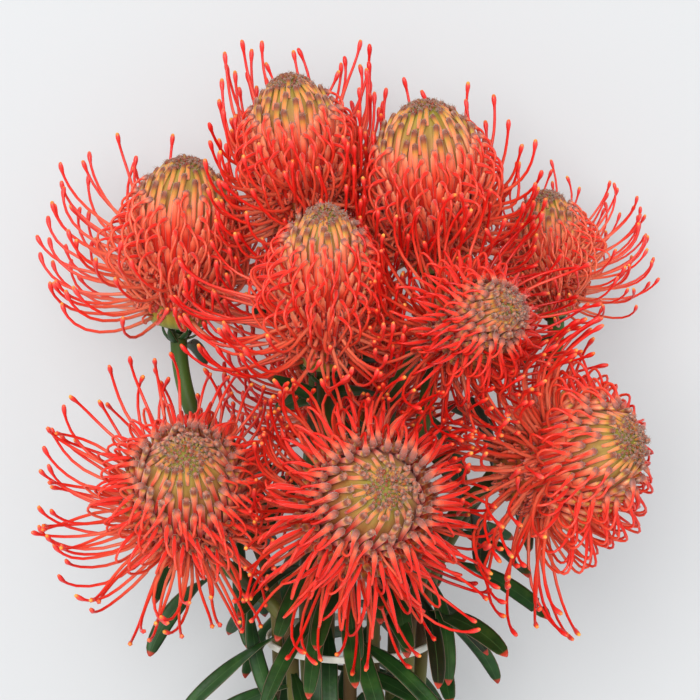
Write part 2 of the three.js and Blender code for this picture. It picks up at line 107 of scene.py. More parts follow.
def vary(bloom, part, trait, width):
    # a repeatable number within a width whose middle is 0
    return (draw(bloom, part, trait) - 0.5) * width


def mix(low, high, share):
    return low + (high - low) * share


def smooth(low, high, value):
    # an S curve from 0 at low to 1 at high
    share = np.clip((value - low) / (high - low), 0, 1)
    return share * share * (3 - 2 * share)


def unit(vectors):
    return vectors / np.linalg.norm(vectors, axis=-1, keepdims=True)


def spread(array):
    return array[:, None]


def carried(paths, width, depth, side, section, closed=False):
    # A section carried along paths, which are strands x stations x 3: from each path point, sideways by
    # the width, and square to that by the depth and the fold.
    if closed:
        along = unit(np.roll(paths, -1, axis=1) - np.roll(paths, 1, axis=1))
    else:
        along = unit(np.gradient(paths, axis=1))
    if side.ndim == 2:
        side = side[:, None, :]
    sideways = unit(side - along * np.sum(side * along, axis=2, keepdims=True))
    square = np.cross(sideways, along)
    x, fold, thick = section
    width, depth = [size if np.ndim(size) == 3 else np.broadcast_to(size, paths.shape[:2])[..., None]
                    for size in (width, depth)]
    across = (width * x)[..., None]
    lifted = (width * fold + depth * thick)[..., None]
    rings = paths[:, :, None] + sideways[:, :, None] * across + square[:, :, None] * lifted

    cell = np.arange(rings.size // 3).reshape(rings.shape[:3])
    turned = np.roll(cell, -1, axis=2)
    walls = np.stack([cell, np.roll(cell, -1, axis=1), np.roll(turned, -1, axis=1), turned], axis=-1)
    if closed:
        return rings, [walls.reshape(-1, 4)]
    return rings, [walls[:, :-1].reshape(-1, 4), cell[:, 0], cell[:, -1, ::-1]]


def strandSet(paths, width, depth, side, section, shade, tone, **more):
    # strands with their values: the shade goes by station, the tone by strand or by point
    rings, faces = carried(paths, width, depth, side, section)
    tone = np.asarray(tone)
    byPoint = tone if tone.ndim == 3 else tone.reshape(-1, 1, 1)
    return rings, faces, {"shade": np.atleast_2d(shade)[:, :, None], **more, "tone": byPoint}


def roundSection(points):
    angle = np.arange(points) * 2 * math.pi / points
    return np.cos(angle), np.zeros(points), np.sin(angle)


triangles = {}
scene = bpy.context.scene


def linked(name, data):
    made = bpy.data.objects.new(name, data)
    scene.collection.objects.link(made)
    return made


def makePiece(name, sets, material):
    # joins sets of strands in one mesh; each set is (rings, faces, named values)
    vertices, corners, sizes, start = [], [], [], 0
    values = {}
    for rings, setFaces, setValues in sets:
        vertices.append(rings.reshape(-1, 3))
        for faces in setFaces:
            corners.append(faces.reshape(-1) + start)
            sizes.append(np.full(len(faces), faces.shape[1]))
        for key, array in setValues.items():
            values.setdefault(key, []).append(np.broadcast_to(array, rings.shape[:3]).reshape(-1))
        start += rings.size // 3
    place = (np.concatenate(vertices) + shift) * 0.001
    mesh = bpy.data.meshes.new(name)
    corners, sizes = np.concatenate(corners), np.concatenate(sizes)
    mesh.vertices.add(len(place))
    mesh.vertices.foreach_set("co", place.reshape(-1))
    mesh.loops.add(len(corners))
    mesh.loops.foreach_set("vertex_index", corners)
    mesh.polygons.add(len(sizes))
    mesh.polygons.foreach_set("loop_start", np.cumsum(sizes) - sizes)
    mesh.update(calc_edges=True)
    for key, arrays in values.items():
        layer = mesh.attributes.new(key, "FLOAT", "POINT")
        layer.data.foreach_set("value", np.concatenate(arrays).astype(np.float32))
    mesh.polygons.foreach_set("use_smooth", np.ones(len(mesh.polygons), dtype=bool))
    mesh.materials.append(material)
    triangles[name] = int((sizes - 2).sum())
    piece = linked(name, mesh)
    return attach(piece, "root")


# Colours are sRGB hex, turned to linear here.
def colour(code):
    parts = [int(code[i:i + 2], 16) / 255 for i in (1, 3, 5)]
    return [p / 12.92 if p <= 0.04045 else ((p + 0.055) / 1.055) ** 2.4 for p in parts] + [1.0]


def addNode(tree, kind, settings=None, links=None):
    made = tree.nodes.new("ShaderNode" + kind)
    for name, value in (settings or {}).items():
        if name == "stops":
            ramp = made.color_ramp
            while len(ramp.elements) < len(value):
                ramp.elements.new(0.5)
            for element, (position, code) in zip(ramp.elements, value):
                element.position = position
                element.color = colour(code)
        elif isinstance(name, str) and hasattr(made, name):
            setattr(made, name, value)
        else:
            made.inputs[name].default_value = value
    for name, source in (links or {}).items():
        tree.links.new(source, made.inputs[name])
    return made


def startMaterial(name):
    material = bpy.data.materials.new(name)
    material.use_nodes = True
    material.node_tree.nodes.clear()
    return material, material.node_tree


def finished(material, settings, links=None):
    tree = material.node_tree
    shader = addNode(tree, "BsdfPrincipled", settings, links)
    addNode(tree, "OutputMaterial", links={"Surface": shader.outputs[0]})
    return material


def valueNode(tree, name):
    return addNode(tree, "Attribute", {"attribute_name": name}).outputs["Fac"]


def noiseNode(tree, size, detail):
    # a noise whose patches are about the size across, in millimetres
    place = addNode(tree, "TexCoord")
    noise = addNode(tree, "TexNoise", {"Scale": 1000 / size, "Detail": detail},
                    {"Vector": place.outputs["Object"]})
    return noise.outputs["Fac"]


def rampNode(tree, stops, source):
    return addNode(tree, "ValToRGB", {"stops": stops}, {"Fac": source}).outputs["Color"]


def mixNode(tree, kind, share, first, second):
    blend = {"data_type": "RGBA", "blend_type": kind, 0: share}
    return addNode(tree, "Mix", blend, {6: first, 7: second}).outputs[2]


def bumpNode(tree, strength, depth, source):
    settings = {"Strength": strength, "Distance": depth * 0.001}
    return addNode(tree, "Bump", settings, {"Height": source}).outputs["Normal"]


# Living plant tissue, waxy and a little translucent. The colour runs along each strand by a ramp and
# wanders off it a little. Each strand has its own tone, and a fine grain breaks the gloss.
wander = 0.014


def plantTissue(name, shadeRamp, toneRamp, roughness, grainSize, grainDepth, softness=0.0, down=0.0,
                wax=0.0):
    material, tree = startMaterial(name)
    grain = noiseNode(tree, grainSize, 3.0)
    shade = addNode(tree, "Math", {"operation": "MULTIPLY_ADD", 1: wander},
                    {0: grain, 2: valueNode(tree, "shade")})
    base = rampNode(tree, shadeRamp, shade.outputs[0])
    tint = rampNode(tree, toneRamp, valueNode(tree, "tone"))
    settings = {"Roughness": roughness, "IOR": 1.42, "Subsurface Weight": softness,
                "Subsurface Radius": (1.0, 0.25, 0.12), "Subsurface Scale": 0.0015,
                "Sheen Weight": down, "Sheen Roughness": 0.4, "Coat Weight": wax, "Coat Roughness": 0.18}
    return finished(material, settings, {"Base Color": mixNode(tree, "MULTIPLY", 1.0, base, tint),
                                         "Normal": bumpNode(tree, 0.5, grainDepth, grain)})


# Styles: salmon where they leave the head, orange-red along the pin, pinkish at the swollen end and
# yellow-orange at its very tip.
styleShades = [(0.0, "#F6AC88"), (0.2, "#F69674"), (0.4, "#F07052"), (0.7, "#EE3E2C"), (0.88, "#E82A20"),
               (0.93, "#F03E38"), (0.975, "#F4524A"), (0.99, "#F08040"), (1.0, "#F4B048")]
styleTones = [(0.0, "#C84038"), (0.3, "#F08C80"), (0.6, "#FFE0DA"), (1.0, "#FFFFFF")]

# Florets: a tube reddens from shade 0.4 down to 0 away from its knob, which has shades 0.41 to 0.5;
# curls use shades 0.52 to 0.72, and sheaths 0.75 to 1.
floretShades = [(0.0, "#EC4A32"), (0.1, "#F67858"), (0.2, "#FCA684"), (0.33, "#FCCAA4"), (0.37, "#F0CC80"),
                (0.4, "#CCBE5C"), (0.42, "#B08A5C"), (0.45, "#96705C"), (0.48, "#9E8276"), (0.5, "#BEA898"),
                (0.52, "#CC7044"), (0.62, "#F08464"), (0.72, "#F8A084"), (0.75, "#F43622"),
                (0.85, "#F84632"), (0.88, "#FA6A4C"), (0.915, "#F6A484"), (0.945, "#BC9088"),
                (1.0, "#9C827E")]
floretTones = [(0.0, "#EC8874"), (0.5, "#F6C8B8"), (1.0, "#FFFFFF")]

# The core shows between the strands: packed floret tubes, olive-gold at the top, reddish lower.
coreShades = [(0.0, "#7E963C"), (0.1, "#C0B044"), (0.25, "#C0703C"), (0.55, "#B87C42"), (0.8, "#BE925A"),
              (0.93, "#AC984C"), (0.97, "#A8A044"), (1.0, "#949040")]
coreTones = [(0.0, "#E6DCC8"), (0.5, "#F2EADA"), (1.0, "#FFFFFF")]

stemShades = [(0.0, "#D8D8A8"), (0.004, "#6E8440"), (0.35, "#6C7C3A"), (0.55, "#7A6A3A"), (0.75, "#587030"),
              (1.0, "#4A6C2C")]
stemTones = [(0.0, "#B08068"), (0.5, "#E0D8C8"), (1.0, "#FFFFFF")]

styleTissue = plantTissue("waxy style tissue", styleShades, styleTones, roughness=0.38, grainSize=0.8,
                          grainDepth=0.05, softness=0.15, wax=0.35)
floretTissue = plantTissue("downy floret tissue", floretShades, floretTones, roughness=0.6, grainSize=0.5,
                           grainDepth=0.25, softness=0.1, down=0.35)
coreTissue = plantTissue("packed floret tubes", coreShades, coreTones, roughness=0.6, grainSize=0.9,
                         grainDepth=0.3, down=0.2)
stemTissue = plantTissue("green stem bark", stemShades, stemTones, roughness=0.5, grainSize=2.5,
                         grainDepth=0.2)


# Leaves: leathery, dark green with a faint midrib, a pale pinkish rim and a red callus at the tip.
def leatheryLeaf():
    material, tree = startMaterial("leathery leaf")
    green = rampNode(tree, [(0.25, "#183416"), (0.55, "#28501F"), (0.8, "#42682A")], noiseNode(tree, 9, 4.0))
    purple = rampNode(tree, [(0.0, "#A08080"), (0.12, "#B8A898"), (0.2, "#FFFFFF")], valueNode(tree, "tone"))
    rim = rampNode(tree, [(0.0, "#5A8048"), (0.05, "#000000"), (0.9, "#000000"), (0.97, "#B49A80")],
                   valueNode(tree, "across"))
    rimmed = mixNode(tree, "LIGHTEN", 0.7, mixNode(tree, "MULTIPLY", 1.0, green, purple), rim)
    callus = rampNode(tree, [(0.955, "#000000"), (0.975, "#FFFFFF")], valueNode(tree, "shade"))
    tipped = addNode(tree, "Mix", {"data_type": "RGBA", 7: colour("#B8402C")}, {0: callus, 6: rimmed})
    veins = bumpNode(tree, 0.4, 0.3, noiseNode(tree, 1.6, 2.0))
    return finished(material, {"Roughness": 0.42, "IOR": 1.45},
                    {"Base Color": tipped.outputs[2], "Normal": veins})


# Natural rubber, moulded thin: matt, off-white, a little grubby.
def whiteRubber():
    material, tree = startMaterial("white rubber")
    base = rampNode(tree, [(0.3, "#D8D2C4"), (0.6, "#EEEAE0")], noiseNode(tree, 14, 4.0))
    return finished(material, {"Roughness": 0.55, "IOR": 1.52}, {"Base Color": base})


leafSkin = leatheryLeaf()
bandRubber = whiteRubber()
tell("materials made")

# Lengths are in millimetres and angles in degrees. A pair runs from the first floret to the last, or
# is the least and the most of a random draw. A head's low and high end the line that the gaps between
# heads are measured from.
head = dict(length=72, radius=23, neck=0.38, widest=0.42, skin=1.8, low=0.24, high=0.8)
gaps = dict(rounds=30, headRoom=21, mostCrossing=22, ease=7, easings=2, tableEase=8)
florets = dict(loopShift=0.6, shiftLimits=(-36, 10), loopScatter=24, firstLoop=16, firstFree=160,
               highest=120, lastSeat=240, end=246)
loops = dict(clawLow=0.48, crowding=0.85, run=(0.2, 0.33), runScatter=(0.85, 1.1), lowestRoot=0.08,
             rootLift=-2.2, clawLift=(1, 5), radius=0.6, thickness=1.1, thinning=0.15, stations=16,
             bulge=(5, 13), bulgeScatter=(0.7, 1.3), sway=0.34, lean=1.2, fullness=(0.55, 0.8),
             rise=(0, 5), firstShade=(0.25, 0.1), lastShade=(0.8, 0.5))
frees = dict(length=53, lengthScatter=(0.92, 1.08), radius=0.66, tipRadius=1.1, top=0.5, bottom=0.06,
             lowering=1.3, rootDepth=3, startTilt=(50, -15), flattening=0.6, startScatter=12,
             endTilt=(90, 72), endScatter=30, bend=2.5, sway=0.5, crossing=14, steps=144,
             lastShade=(0.978, 1),
             stations=(0, 0.12, 0.26, 0.4, 0.54, 0.67, 0.78, 0.86, 0.9, 0.925, 0.95, 0.975, 0.993, 1),
             wedge=(1.5, 1.35, 1.2, 1.1, 1.05, 1, 0.98, 0.92, 1.05, 1.4, 1.7, 1.6, 1.15, 0.45))
waves = dict(swing=(0.3, 1.1), speed=7, still=0.3, leastRadius=10)


def coreRadius(index, share):
    # by the share of the height: a quarter ellipse below the widest place, a blunt dome above it
    below = np.clip((head["widest"] - share) / head["widest"], 0, 1)
    above = np.clip((share - head["widest"]) / (1 - head["widest"]), 0, 1)
    low = head["neck"] + (1 - head["neck"]) * np.sqrt(1 - below ** 2)
    dome = np.sqrt(1 - above ** blooms[index]["blunt"])
    return blooms[index]["radius"] * np.where(share < head["widest"], low, dome)


def headPoints(turn, radius, height):
    return np.stack([radius * np.cos(turn), radius * np.sin(turn), height + 0 * turn], axis=-1)


def sidesOf(index, turn):
    # the sideways direction of a strand, turned with its head
    return np.stack([-np.sin(turn), np.cos(turn), 0 * turn], axis=-1) @ blooms[index]["turned"].T


def turnedTo(axis):
    # the smallest turn that takes +Z to the axis
    x, y, z = axis
    cross = np.array([[0, 0, x], [0, 0, y], [-x, -y, 0]])
    return np.eye(3) + cross + cross @ cross / (1 + z)


for flower in blooms:
    flower["seat"] = np.array(flower["seat"], dtype=float)
    flower["axis"] = unit(np.array(flower["axis"], dtype=float))
    flower["turned"] = turnedTo(flower["axis"])
    flower["radius"] = head["radius"] * flower["girth"]
    length = head["length"] * flower["size"]
    flower["low"] = flower["seat"] + head["low"] * length * flower["axis"]
    flower["high"] = flower["seat"] + head["high"] * length * flower["axis"]


def nearestOnLine(points, low, high):
    span = high - low
    share = np.clip((points - low) @ span / (span @ span), 0, 1)
    return low + share[..., None] * span


def wallsOf(index):
    # for each other head: the middle of the gap, the direction to it, and how far styles may cross
    here = blooms[index]
    walls = []
    for other in blooms:
        if other is here:
            continue
        onHere = (here["low"] + here["high"]) / 2
        for _ in range(gaps["rounds"]):
            onOther = nearestOnLine(onHere, other["low"], other["high"])
            onHere = nearestOnLine(onOther, here["low"], here["high"])
        gap = np.linalg.norm(onOther - onHere)
        room = gaps["headRoom"] * other["size"] * other["girth"]
        crossing = np.clip(gap / 2 - room, 0, gaps["mostCrossing"])
        walls.append(((onHere + onOther) / 2, (onOther - onHere) / gap, crossing))
    return walls


for index, flower in enumerate(blooms):
    flower["walls"] = wallsOf(index)


def settled(points, radius, walls, loose):
    # Eases points back from each neighbour: past the start of the ease, the distance grows as one
    # minus an exponential and never passes the crossing and what is loose in each strand. The table
    # does the same at height 0.
    ease, low = gaps["ease"], gaps["tableEase"]
    for _ in range(gaps["easings"]):
        for middle, out, crossing in walls:
            past = (points - middle) @ out + radius + ease
            span = ease + crossing + loose
            eased = np.where(past > 0, span * (1 - np.exp(-np.maximum(past, 0) / span)), past)
            points = points - (past - eased)[..., None] * out
    height = points[..., 2] - radius
    eased = low * np.exp(np.minimum(height - low, 0) / low)
    points[..., 2] = radius + np.where(height < low, eased, height)
    return points


def placed(index, points):
    # from a head's own measures, with its seat at the origin and its apex along +Z, to the bunch's
    flower = blooms[index]
    return flower["seat"] + flower["size"] * points @ flower["turned"].T


def inBunch(index, points, radius, loose=0):
    flower = blooms[index]
    return settled(placed(index, points), radius * flower["size"], flower["walls"], loose)


def waver(index, numbers, stations, radius):
    # a small sideways wave along a style, as a turn about the head: a sine, still at the root
    phase = spread(draw(index, numbers, 51)) * 2 * math.pi
    swing = mix(*waves["swing"], spread(draw(index, numbers, 52)))
    sideways = swing * np.sin(phase + waves["speed"] * stations) * smooth(0, waves["still"], stations)
    return sideways / np.maximum(radius, waves["leastRadius"])


def walked(tilt, length):
    # how far out and up a path gets by even steps: sums of the cosines and sines of its tilt
    start = np.zeros((len(tilt), 1))
    return [np.concatenate([start, np.cumsum(part, axis=1)], axis=1) * spread(length) / tilt.shape[1]
            for part in (np.cos(tilt), np.sin(tilt))]


def freePaths(index, numbers, stations):
    # Leaves the flank between level and half upright and curves up, most of it near the end: the tilt
    # goes by a power of the length.
    rank = np.clip((numbers - florets["highest"]) / (florets["end"] - florets["highest"]), 0, 1)
    share = mix(frees["top"], frees["bottom"], rank ** frees["lowering"])
    turn = numbers * goldenTurn
    flower = blooms[index]
    length = frees["length"] * flower["reach"] * mix(*frees["lengthScatter"], draw(index, numbers, 1))
    rise = flower["rise"]
    (startTop, startLow), (endTop, endLow) = frees["startTilt"], frees["endTilt"]
    tiltStart = mix(startTop + rise, startLow, rank ** frees["flattening"])
    tiltStart = tiltStart + vary(index, numbers, 2, frees["startScatter"])
    tiltEnd = mix(endTop + rise, endLow, rank) + vary(index, numbers, 3, frees["endScatter"])
    sway = vary(index, numbers, 4, frees["sway"])
    step = (np.arange(frees["steps"]) + 0.5) / frees["steps"]
    tilt = mix(spread(tiltStart), spread(tiltEnd), step ** frees["bend"]) * degree
    out, up = walked(tilt, length)
    pick = np.round(stations * frees["steps"]).astype(int)
    s = pick / frees["steps"]
    radius = spread(coreRadius(index, share) - frees["rootDepth"]) + out[:, pick]
    height = spread(head["length"] * share) + up[:, pick]
    wave = waver(index, numbers, s, radius)
    return headPoints(spread(turn) + spread(sway) * s ** 2 + wave, radius, height), turn


def shutness(index, numbers):
    # how far round towards the shut side each floret stands, counted in florets
    side = np.array(blooms[index]["shut"]) @ blooms[index]["turned"]
    return headPoints(numbers * goldenTurn, 1, 0) @ side


def isFree(index, numbers):
    return numbers > blooms[index]["free"] + shutness(index, numbers)


def isLoop(index, numbers):
    moved = np.clip(shutness(index, numbers), *florets["shiftLimits"])
    first = blooms[index]["young"] + florets["loopShift"] * moved
    first = first + vary(index, numbers, 29, florets["loopScatter"])
    return (numbers > np.maximum(first, florets["firstLoop"])) & ~isFree(index, numbers)


def loopRank(index, numbers):
    young = blooms[index]["young"]
    return np.clip((numbers - young) / (florets["firstFree"] - young), 0, 1)


def clawShare(numbers):
    # claws stand closer together further down: a power of the floret's number
    return 1 - (1 - loops["clawLow"]) * ((numbers + 0.5) / florets["firstFree"]) ** loops["crowding"]


def arch(stations):
    # a half ellipse, with its top moved towards the claw by a power of the station
    far = 2 * stations ** loops["lean"] - 1
    return np.clip(1 - far ** 2, 0, 1) ** mix(*loops["fullness"], stations)


def loopPaths(index, numbers, stations):
    # the style stands off the core by the bulge and up by the rise, each times the arch
    rank = loopRank(index, numbers)
    claw = clawShare(numbers)
    run = mix(*loops["run"], rank) * mix(*loops["runScatter"], draw(index, numbers, 3))
    root = np.maximum(claw - run, loops["lowestRoot"])
    turn = numbers * goldenTurn
    sway = vary(index, numbers, 1, loops["sway"])
    bulge = mix(*loops["bulge"], rank) * mix(*loops["bulgeScatter"], draw(index, numbers, 2))
    bow = arch(stations)
    share = mix(spread(root), spread(claw), stations)
    lift = blooms[index]["bow"] * spread(mix(*loops["clawLift"], rank))
    radius = coreRadius(index, share) + mix(loops["rootLift"], lift, stations)
    radius = radius + blooms[index]["bow"] * spread(bulge) * bow
    height = head["length"] * share + spread(mix(*loops["rise"], rank)) * bow
    wave = waver(index, numbers, stations, radius)
    return headPoints(spread(turn) + spread(sway) * bow + wave, radius, height), turn


def skinOf(index):
    # the core's outline from the apex down: its shares of the height, run along it, radius and height
    share = 1 - np.linspace(0, 1, 400) ** 2
    radius = np.maximum(coreRadius(index, share) - head["skin"], 0)
    height = head["length"] * share
    run = np.concatenate([[0], np.cumsum(np.hypot(np.diff(radius), np.diff(height)))])
    return share, run + 1e-6 * np.arange(400), radius, height


def onCore(index, arc, turn, lift):
    # a point by its run along the outline from the apex, lifted square to it
    share, run, radius, height = skinOf(index)
    out = np.interp(arc, run, -np.gradient(height, run))
    up = np.interp(arc, run, np.gradient(radius, run))
    arcRadius, arcHeight = np.interp(arc, run, radius), np.interp(arc, run, height)
    return headPoints(turn, arcRadius + lift * out, arcHeight + lift * up)


# Wedges are widths along a strand; flatness is how thick it is for its width.
strands = dict(length=(9, 27), lengthScatter=(0.85, 1.15), tipScatter=(0.97, 1.03), tube=(0.95, 1.2),
               tubeStations=(1, 0.72, 0.45, 0.2), youngWedge=(0.75, 0.9, 1, 1.05, 1.15),
               ripeWedge=(0.6, 0.75, 0.95, 1.25, 1.45), knob=(2.0, 2.8), swell=(1.05, 1.35),
               knobStations=(1, 0.78, 0.52, 0.24, 0), knobWedge=(1.02, 1.05, 0.9, 0.45), fadedKnob=0.72,
               ripeKnob=0.25, flatness=0.85, foot=0.5, standOff=(1.0, 2.4), offScatter=(0.5, 1.5),
               risen=0.6, lifting=1.6, skew=0.3, grownAt=34, extraNearApex=12, fading=(45, 90),
               loopedFade=0.75, middleTone=0.3, hairsAt=(6, 7), hairyTo=0.6)
sheaths = dict(length=0.22, stations=(1, 0.8, 0.6, 0.4, 0.22, 0.08, 0), width=0.95,
               youngWedge=(0.5, 0.55, 0.62, 0.85, 1.45, 1.7, 1.1), oldAt=0.6,
               oldWedge=(0.5, 0.6, 0.7, 0.85, 1, 0.85, 0.4), middleTone=0.35, hairsAt=(4, 5), hairyTo=0.7)
crown = dict(count=64, pitch=1.0, splay=0.12, height=2.4, heightScatter=(0.7, 1.2), sunk=0.4, width=0.68,
             stations=(0, 0.4, 0.7, 0.92, 1), wedge=(0.8, 0.9, 1.15, 0.95, 0.4), hairsAt=(3,))
curls = dict(perFloret=4, before=12, top=0.5, bottom=0.1, shareScatter=0.06, turnScatter=0.35, length=13,
             lengthScatter=(0.6, 1.1), turns=1.3, turnsScatter=(0.6, 1.2), heading=(20, 75), drift=0.3,
             rootDepth=1.5, width=0.95, taper=0.55, flatness=0.6, steps=6)
down = dict(perStation=3, length=(0.7, 1.6), radius=0.1, taper=(1.3, 0.6), sunk=0.7, lean=1.1,
            leaning=(-0.2, 1))
shades = dict(tube=0.4, fall=(0.011, 0.045), reddening=(20, 100), ripeReddening=(3, 15), knob=(0.41, 0.5),
              paler=0.2, hair=(0.47, 0.5), crown=(0.39, 0.4, 0.42, 0.44, 0.47), ripeCrown=0.02,
              curl=(0.53, 0.71), sheath=0.76, sheathRun=0.24, oldSheath=0.42)


def downOn(index, paths, width, side, picks):
    # Straight hairs on the outer side of strands: each stands on the surface and points outwards
    # plus the lean times the strand's own direction, with a small random turn of its own.
    picks, perStation = np.array(picks), down["perStation"]
    along = unit(paths[:, np.minimum(picks + 1, paths.shape[1] - 1)] - paths[:, picks - 1])
    sideways = unit(side[:, None] - along * np.sum(side[:, None] * along, axis=2, keepdims=True))
    square = np.cross(sideways, along)
    number = np.arange(len(paths) * len(picks) * perStation).reshape(len(paths), len(picks), perStation)
    angle = (np.arange(perStation) + draw(index, number, 61)) / perStation * math.pi
    out = sideways[:, :, None] * np.cos(angle)[..., None] + square[:, :, None] * np.sin(angle)[..., None]
    root = paths[:, picks][:, :, None] + out * (down["sunk"] * width[:, picks])[:, :, None, None]
    leaning = mix(*down["leaning"], draw(index, number, 62)) * down["lean"]
    heading = unit(out + along[:, :, None] * leaning[..., None])
    length = mix(*down["length"], draw(index, number, 63))[..., None]
    hairs = np.stack([root, root + heading * length], axis=3).reshape(-1, 2, 3)
    thin = down["radius"] * np.array(down["taper"])
    across = np.cross(out, along[:, :, None]).reshape(-1, 3)
    return [strandSet(hairs, thin, thin, across, roundSection(3), shades["hair"], 1.0)]


def downySets(index, paths, width, turn, shade, chance, values, age):
    # flattened strands whose tone rises to the sides with the cube of the place across, and hairs on
    # those that aren't too old for them
    section, side, hairy = roundSection(6), sidesOf(index, turn), age < values["hairyTo"]
    tone = mix(values["middleTone"], 1, np.abs(section[0]) ** 3) * mix(0.7, 1, chance)[:, None, None]
    return [strandSet(paths, width, width * strands["flatness"], side, section, shade, tone),
            *downOn(index, paths[hairy], width[hairy], side[hairy], values["hairsAt"])]


def styleSets(index):
    numbers = np.arange(florets["firstLoop"], florets["end"])
    # pale is partly the styles' own colour and partly painted light: paler styles where light shines through
    # them, deeper red ones where the bunch shades them
    pale, size = blooms[index]["pale"], blooms[index]["size"]

    stations = np.array(frees["stations"])
    chosen = numbers[isFree(index, numbers)]
    local, turn = freePaths(index, chosen, stations)
    loose = frees["crossing"] * spread(draw(index, chosen, 53))
    paths = inBunch(index, local, frees["tipRadius"], loose)
    radius = frees["radius"] * np.array(frees["wedge"]) * size
    tone = mix(pale, 1, draw(index, chosen, 11))
    shade = stations * spread(mix(*frees["lastShade"], draw(index, chosen, 13)))
    free = strandSet(paths, radius, radius, sidesOf(index, turn), roundSection(5), shade, tone)

    stations = ((1 - np.cos(np.linspace(0, math.pi, loops["stations"]))) / 2) ** (1 / loops["lean"])
    chosen = numbers[isLoop(index, numbers)]
    local, turn = loopPaths(index, chosen, stations)
    paths = inBunch(index, local, loops["radius"])
    radius = loops["radius"] * (loops["thickness"] - loops["thinning"] * stations) * size
    tone = mix(pale, 1, draw(index, chosen, 12))
    shade = mix(mix(*loops["firstShade"], pale), mix(*loops["lastShade"], pale), stations)
    looped = strandSet(paths, radius, radius, sidesOf(index, turn), roundSection(5), shade, tone)
    return [free, looped]


def strandSets(index):
    # Each floret's downy tube lies up the core over the next ones and ends in a woolly knob. The tube
    # lifts off the core by a power of the way risen, and a looped floret's is drawn to its loop's claw.
    size, ripe = blooms[index]["size"], blooms[index]["ripe"]
    numbers = np.arange(florets["lastSeat"])
    between = np.arange(0.5, strands["extraNearApex"])
    chosen = np.concatenate([between, numbers[~isFree(index, numbers)]])
    looped = isLoop(index, chosen)
    turn = chosen * goldenTurn
    grown = smooth(0, strands["grownAt"], chosen)

    share, run = skinOf(index)[:2]
    tip = np.interp(1 - clawShare(chosen), 1 - share, run)
    tip = tip * mix(*strands["tipScatter"], draw(index, chosen, 15))
    length = mix(*strands["length"], grown) * mix(*strands["lengthScatter"], draw(index, chosen, 16))
    knob = mix(*strands["knob"], grown)
    tube = spread(length - knob) * np.array(strands["tubeStations"]) + spread(knob)
    behind = np.concatenate([tube, spread(knob) * np.array(strands["knobStations"])], axis=1)
    rising = np.clip(1 - behind / spread(strands["risen"] * length), 0, 1) ** strands["lifting"]
    standOff = mix(*strands["standOff"], grown) * mix(*strands["offScatter"], draw(index, chosen, 17))
    standOff = standOff * (1 + ripe)
    skew = spread(vary(index, chosen, 19, strands["skew"])) * rising
    lift = mix(strands["foot"], spread(standOff), rising)
    local = onCore(index, spread(tip) + behind, spread(turn) + skew, lift)
    claw = loopPaths(index, chosen, np.array([1.0]))[0]
    local = local + (spread(looped) * rising)[..., None] * (claw - local[:, -1:])
    paths = inBunch(index, local, 1)

    faded = np.maximum(smooth(*strands["fading"], chosen), strands["loopedFade"] * looped)
    wedge = mix(np.array(strands["youngWedge"]), np.array(strands["ripeWedge"]), spread(ripe * grown))
    tubeWidth = spread(mix(*strands["tube"], grown)) * wedge
    swell = mix(*strands["swell"], grown) * mix(1, strands["fadedKnob"], faded)
    swell = swell * (1 + strands["ripeKnob"] * ripe * grown)
    knobWidth = spread(swell) * np.array(strands["knobWedge"])
    width = np.concatenate([tubeWidth, knobWidth], axis=1) * size

    past = behind - spread(knob)
    paler = shades["paler"] * spread(faded) * (1 - ripe)
    ripened = ripe * smooth(*shades["ripeReddening"], chosen)
    redder = np.maximum(smooth(*shades["reddening"], chosen), ripened)
    woolly = mix(*shades["knob"], -past / spread(knob)) - paler
    downy = np.maximum(shades["tube"] - spread(mix(*shades["fall"], redder)) * past - paler, 0)
    shade = np.where(past > 0, downy, woolly)
    return downySets(index, paths, width, turn, shade, draw(index, chosen, 14), strands, faded)


def sheathSets(index):
    # limbs sheathe the ends of the loops: the last part of each loop's own path, wider
    numbers = np.arange(florets["lastSeat"])
    chosen = numbers[isLoop(index, numbers)]
    stations = 1 - sheaths["length"] * np.array(sheaths["stations"])
    local, turn = loopPaths(index, chosen, stations)
    paths = inBunch(index, local, 1)
    old = spread(smooth(0, sheaths["oldAt"], loopRank(index, chosen)))
    swell = mix(np.array(sheaths["youngWedge"]), np.array(sheaths["oldWedge"]), old)
    width = sheaths["width"] * swell * blooms[index]["size"]
    along = np.linspace(0, shades["sheathRun"], len(stations))
    shade = shades["sheath"] + along * mix(1, shades["oldSheath"], old)
    return downySets(index, paths, width, turn, shade, draw(index, chosen, 20), sheaths, old[:, 0])


def crownSets(index):
    # the youngest buds stand upright round the apex, as far from it as the root of their number
    number = np.arange(crown["count"])
    arc = crown["pitch"] * np.sqrt(number + 0.5)
    turn = number * goldenTurn
    side = sidesOf(index, turn)
    s = np.array(crown["stations"])
    height = crown["height"] * mix(*crown["heightScatter"], draw(index, number, 17))
    run = spread(arc) * (1 + crown["splay"] * s)
    local = onCore(index, run, spread(turn), spread(height) * s - crown["sunk"])
    paths = inBunch(index, local, 1)
    bud = crown["width"] * np.array(crown["wedge"]) * blooms[index]["size"]
    width = np.broadcast_to(bud, paths.shape[:2])
    shade = np.array(shades["crown"]) - shades["ripeCrown"] * blooms[index]["ripe"]
    buds = strandSet(paths, width, width, side, roundSection(5), shade, draw(index, number, 18))
    return [buds] + downOn(index, paths, width, side, crown["hairsAt"])


